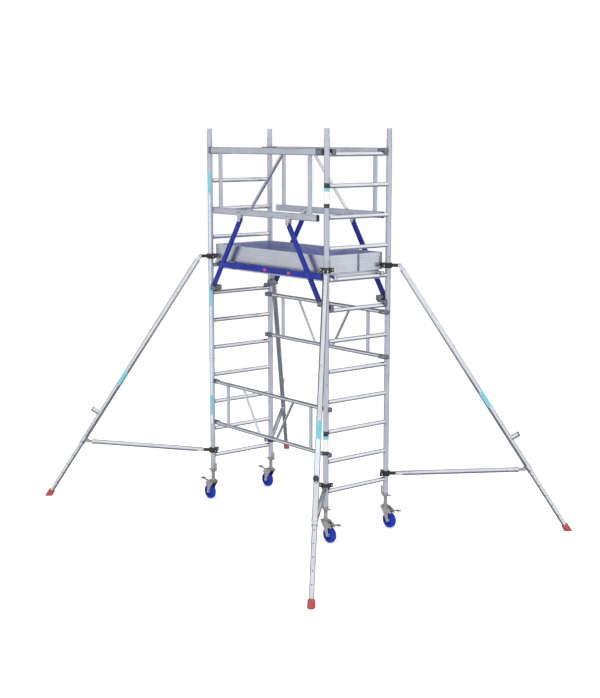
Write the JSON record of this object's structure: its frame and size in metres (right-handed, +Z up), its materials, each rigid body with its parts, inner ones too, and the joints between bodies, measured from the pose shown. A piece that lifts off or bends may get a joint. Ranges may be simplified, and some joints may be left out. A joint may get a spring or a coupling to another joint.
{
  "type": "mobile tower scaffold",
  "caption": "Rolling aluminium scaffold tower: ladder sides, braces, a hatch deck with toe boards and guardrails, adjustable braked casters and splayed telescopic stabilisers.",
  "frame": {"origin": "on the floor at the tower's centre, midway between the four posts", "axes": "+X along the deck, from the hatch end to the other end; +Y across the deck; +Z up"},
  "size_m": [4.3786, 3.3286, 3.7796],
  "materials": {
    "post_aluminium": "satin, drawn tube",
    "rung_aluminium": "bright drawn tube",
    "board_aluminium": "bright extrusion with fine lengthwise lines",
    "zinc_steel": "zinc plated",
    "blue_paint": "satin powder coat",
    "blue_wheel": "moulded, satin",
    "deck_blue": "blue film-faced birch plywood",
    "clamp_black": "satin black",
    "pedal_grey": "plated and painted"
  },
  "bodies": {
    "tower": {"left_lower_frame": "post_aluminium", "left_middle_frame": "post_aluminium", "left_upper_frame": "post_aluminium", "right_lower_frame": "post_aluminium", "right_middle_frame": "post_aluminium", "right_upper_frame": "post_aluminium", "deck_frame": "board_aluminium", "deck_panel": "deck_blue", "front_toe_board": "board_aluminium", "back_toe_board": "board_aluminium", "left_toe_board": "board_aluminium", "right_toe_board": "board_aluminium", "front_guardrail": "post_aluminium", "front_guardrail_legs": "blue_paint", "front_brace": "post_aluminium", "back_guardrail": "post_aluminium", "back_guardrail_legs": "blue_paint", "back_brace": "post_aluminium"},
    "front_left_nut": {"front_left_adjusting_nut": "zinc_steel"},
    "front_left_leg": {"front_left_leg_spindle": "zinc_steel"},
    "front_left_fork": {"front_left_caster_fork": "zinc_steel"},
    "front_left_wheel": {"front_left_caster_wheel": "blue_wheel"},
    "front_left_pedal": {"front_left_brake_pedal": "pedal_grey"},
    "front_left_stabiliser": {"front_left_top_clamp": "clamp_black", "front_left_low_clamp": "clamp_black", "front_left_stabiliser_outer_leg": "rung_aluminium", "front_left_stabiliser_spreader": "rung_aluminium"},
    "front_left_foot_leg": {"front_left_stabiliser_inner_leg": "rung_aluminium"},
    "front_right_nut": {"front_right_adjusting_nut": "zinc_steel"},
    "front_right_leg": {"front_right_leg_spindle": "zinc_steel"},
    "front_right_fork": {"front_right_caster_fork": "zinc_steel"},
    "front_right_wheel": {"front_right_caster_wheel": "blue_wheel"},
    "front_right_pedal": {"front_right_brake_pedal": "pedal_grey"},
    "front_right_stabiliser": {"front_right_top_clamp": "clamp_black", "front_right_low_clamp": "clamp_black", "front_right_stabiliser_outer_leg": "rung_aluminium", "front_right_stabiliser_spreader": "rung_aluminium"},
    "front_right_foot_leg": {"front_right_stabiliser_inner_leg": "rung_aluminium"},
    "back_right_nut": {"back_right_adjusting_nut": "zinc_steel"},
    "back_right_leg": {"back_right_leg_spindle": "zinc_steel"},
    "back_right_fork": {"back_right_caster_fork": "zinc_steel"},
    "back_right_wheel": {"back_right_caster_wheel": "blue_wheel"},
    "back_right_pedal": {"back_right_brake_pedal": "pedal_grey"},
    "back_right_stabiliser": {"back_right_top_clamp": "clamp_black", "back_right_low_clamp": "clamp_black", "back_right_stabiliser_outer_leg": "rung_aluminium", "back_right_stabiliser_spreader": "rung_aluminium"},
    "back_right_foot_leg": {"back_right_stabiliser_inner_leg": "rung_aluminium"},
    "back_left_nut": {"back_left_adjusting_nut": "zinc_steel"},
    "back_left_leg": {"back_left_leg_spindle": "zinc_steel"},
    "back_left_fork": {"back_left_caster_fork": "zinc_steel"},
    "back_left_wheel": {"back_left_caster_wheel": "blue_wheel"},
    "back_left_pedal": {"back_left_brake_pedal": "pedal_grey"},
    "back_left_stabiliser": {"back_left_top_clamp": "clamp_black", "back_left_low_clamp": "clamp_black", "back_left_stabiliser_outer_leg": "rung_aluminium", "back_left_stabiliser_spreader": "rung_aluminium"},
    "back_left_foot_leg": {"back_left_stabiliser_inner_leg": "rung_aluminium"},
    "hatch": {"hatch": "deck_blue"}
  },
  "joints": [
    {"name": "front_left_nut_turn", "type": "hinge", "parent": "tower", "child": "front_left_nut", "pos_m": [-0.9, -0.375, 0.315], "axis": [0, 0, 1], "range_deg": [-3601, 7202]},
    {"name": "front_left_leg_slide", "type": "slide", "parent": "tower", "child": "front_left_leg", "axis": [0, 0, -1], "range_m": [-0.08, 0.16]},
    {"name": "front_left_caster_swivel", "type": "hinge", "parent": "front_left_leg", "child": "front_left_fork", "pos_m": [-0.9, -0.375, 0.2], "axis": [0, 0, 1], "continuous": true},
    {"name": "front_left_wheel_spin", "type": "hinge", "parent": "front_left_fork", "child": "front_left_wheel", "pos_m": [-0.958, -0.375, 0.075], "axis": [0, 1, 0], "continuous": true},
    {"name": "front_left_brake_pedal_press", "type": "hinge", "parent": "front_left_fork", "child": "front_left_pedal", "pos_m": [-0.93, -0.375, 0.176], "axis": [0, -1, 0], "range_deg": [0, 15]},
    {"name": "front_left_stabiliser_swing", "type": "hinge", "parent": "tower", "child": "front_left_stabiliser", "pos_m": [-0.9, -0.375, 1.5], "axis": [0, 0, 1], "range_deg": [-22, 22]},
    {"name": "front_left_stabiliser_leg_slide", "type": "slide", "parent": "front_left_stabiliser", "child": "front_left_foot_leg", "axis": [-0.3765, -0.3912, -0.8398], "range_m": [-0.5, 0.8]},
    {"name": "front_right_nut_turn", "type": "hinge", "parent": "tower", "child": "front_right_nut", "pos_m": [0.9, -0.375, 0.315], "axis": [0, 0, 1], "range_deg": [-3601, 7202]},
    {"name": "front_right_leg_slide", "type": "slide", "parent": "tower", "child": "front_right_leg", "axis": [0, 0, -1], "range_m": [-0.08, 0.16]},
    {"name": "front_right_caster_swivel", "type": "hinge", "parent": "front_right_leg", "child": "front_right_fork", "pos_m": [0.9, -0.375, 0.2], "axis": [0, 0, 1], "continuous": true},
    {"name": "front_right_wheel_spin", "type": "hinge", "parent": "front_right_fork", "child": "front_right_wheel", "pos_m": [0.958, -0.375, 0.075], "axis": [0, 1, 0], "continuous": true},
    {"name": "front_right_brake_pedal_press", "type": "hinge", "parent": "front_right_fork", "child": "front_right_pedal", "pos_m": [0.93, -0.375, 0.176], "axis": [0, 1, 0], "range_deg": [0, 15]},
    {"name": "front_right_stabiliser_swing", "type": "hinge", "parent": "tower", "child": "front_right_stabiliser", "pos_m": [0.9, -0.375, 1.5], "axis": [0, 0, 1], "range_deg": [-22, 22]},
    {"name": "front_right_stabiliser_leg_slide", "type": "slide", "parent": "front_right_stabiliser", "child": "front_right_foot_leg", "axis": [0.3912, -0.3765, -0.8398], "range_m": [-0.5, 0.8]},
    {"name": "back_right_nut_turn", "type": "hinge", "parent": "tower", "child": "back_right_nut", "pos_m": [0.9, 0.375, 0.315], "axis": [0, 0, 1], "range_deg": [-3601, 7202]},
    {"name": "back_right_leg_slide", "type": "slide", "parent": "tower", "child": "back_right_leg", "axis": [0, 0, -1], "range_m": [-0.08, 0.16]},
    {"name": "back_right_caster_swivel", "type": "hinge", "parent": "back_right_leg", "child": "back_right_fork", "pos_m": [0.9, 0.375, 0.2], "axis": [0, 0, 1], "continuous": true},
    {"name": "back_right_wheel_spin", "type": "hinge", "parent": "back_right_fork", "child": "back_right_wheel", "pos_m": [0.958, 0.375, 0.075], "axis": [0, 1, 0], "continuous": true},
    {"name": "back_right_brake_pedal_press", "type": "hinge", "parent": "back_right_fork", "child": "back_right_pedal", "pos_m": [0.93, 0.375, 0.176], "axis": [0, 1, 0], "range_deg": [0, 15]},
    {"name": "back_right_stabiliser_swing", "type": "hinge", "parent": "tower", "child": "back_right_stabiliser", "pos_m": [0.9, 0.375, 1.5], "axis": [0, 0, 1], "range_deg": [-22, 22]},
    {"name": "back_right_stabiliser_leg_slide", "type": "slide", "parent": "back_right_stabiliser", "child": "back_right_foot_leg", "axis": [0.3765, 0.3912, -0.8398], "range_m": [-0.5, 0.8]},
    {"name": "back_left_nut_turn", "type": "hinge", "parent": "tower", "child": "back_left_nut", "pos_m": [-0.9, 0.375, 0.315], "axis": [0, 0, 1], "range_deg": [-3601, 7202]},
    {"name": "back_left_leg_slide", "type": "slide", "parent": "tower", "child": "back_left_leg", "axis": [0, 0, -1], "range_m": [-0.08, 0.16]},
    {"name": "back_left_caster_swivel", "type": "hinge", "parent": "back_left_leg", "child": "back_left_fork", "pos_m": [-0.9, 0.375, 0.2], "axis": [0, 0, 1], "continuous": true},
    {"name": "back_left_wheel_spin", "type": "hinge", "parent": "back_left_fork", "child": "back_left_wheel", "pos_m": [-0.958, 0.375, 0.075], "axis": [0, 1, 0], "continuous": true},
    {"name": "back_left_brake_pedal_press", "type": "hinge", "parent": "back_left_fork", "child": "back_left_pedal", "pos_m": [-0.93, 0.375, 0.176], "axis": [0, -1, 0], "range_deg": [0, 15]},
    {"name": "back_left_stabiliser_swing", "type": "hinge", "parent": "tower", "child": "back_left_stabiliser", "pos_m": [-0.9, 0.375, 1.5], "axis": [0, 0, 1], "range_deg": [-22, 22]},
    {"name": "back_left_stabiliser_leg_slide", "type": "slide", "parent": "back_left_stabiliser", "child": "back_left_foot_leg", "axis": [-0.3912, 0.3765, -0.8398], "range_m": [-0.5, 0.8]},
    {"name": "hatch_lid", "type": "hinge", "parent": "tower", "child": "hatch", "pos_m": [-0.515, 0.275, 2.4804], "axis": [-1, 0, 0], "range_deg": [0, 95]}
  ],
  "couplings": [
    {"joint": "front_left_nut_turn", "follows": "front_left_leg_slide", "rad_per_m": 785.4},
    {"joint": "front_right_nut_turn", "follows": "front_right_leg_slide", "rad_per_m": 785.4},
    {"joint": "back_right_nut_turn", "follows": "back_right_leg_slide", "rad_per_m": 785.4},
    {"joint": "back_left_nut_turn", "follows": "back_left_leg_slide", "rad_per_m": 785.4}
  ]
}
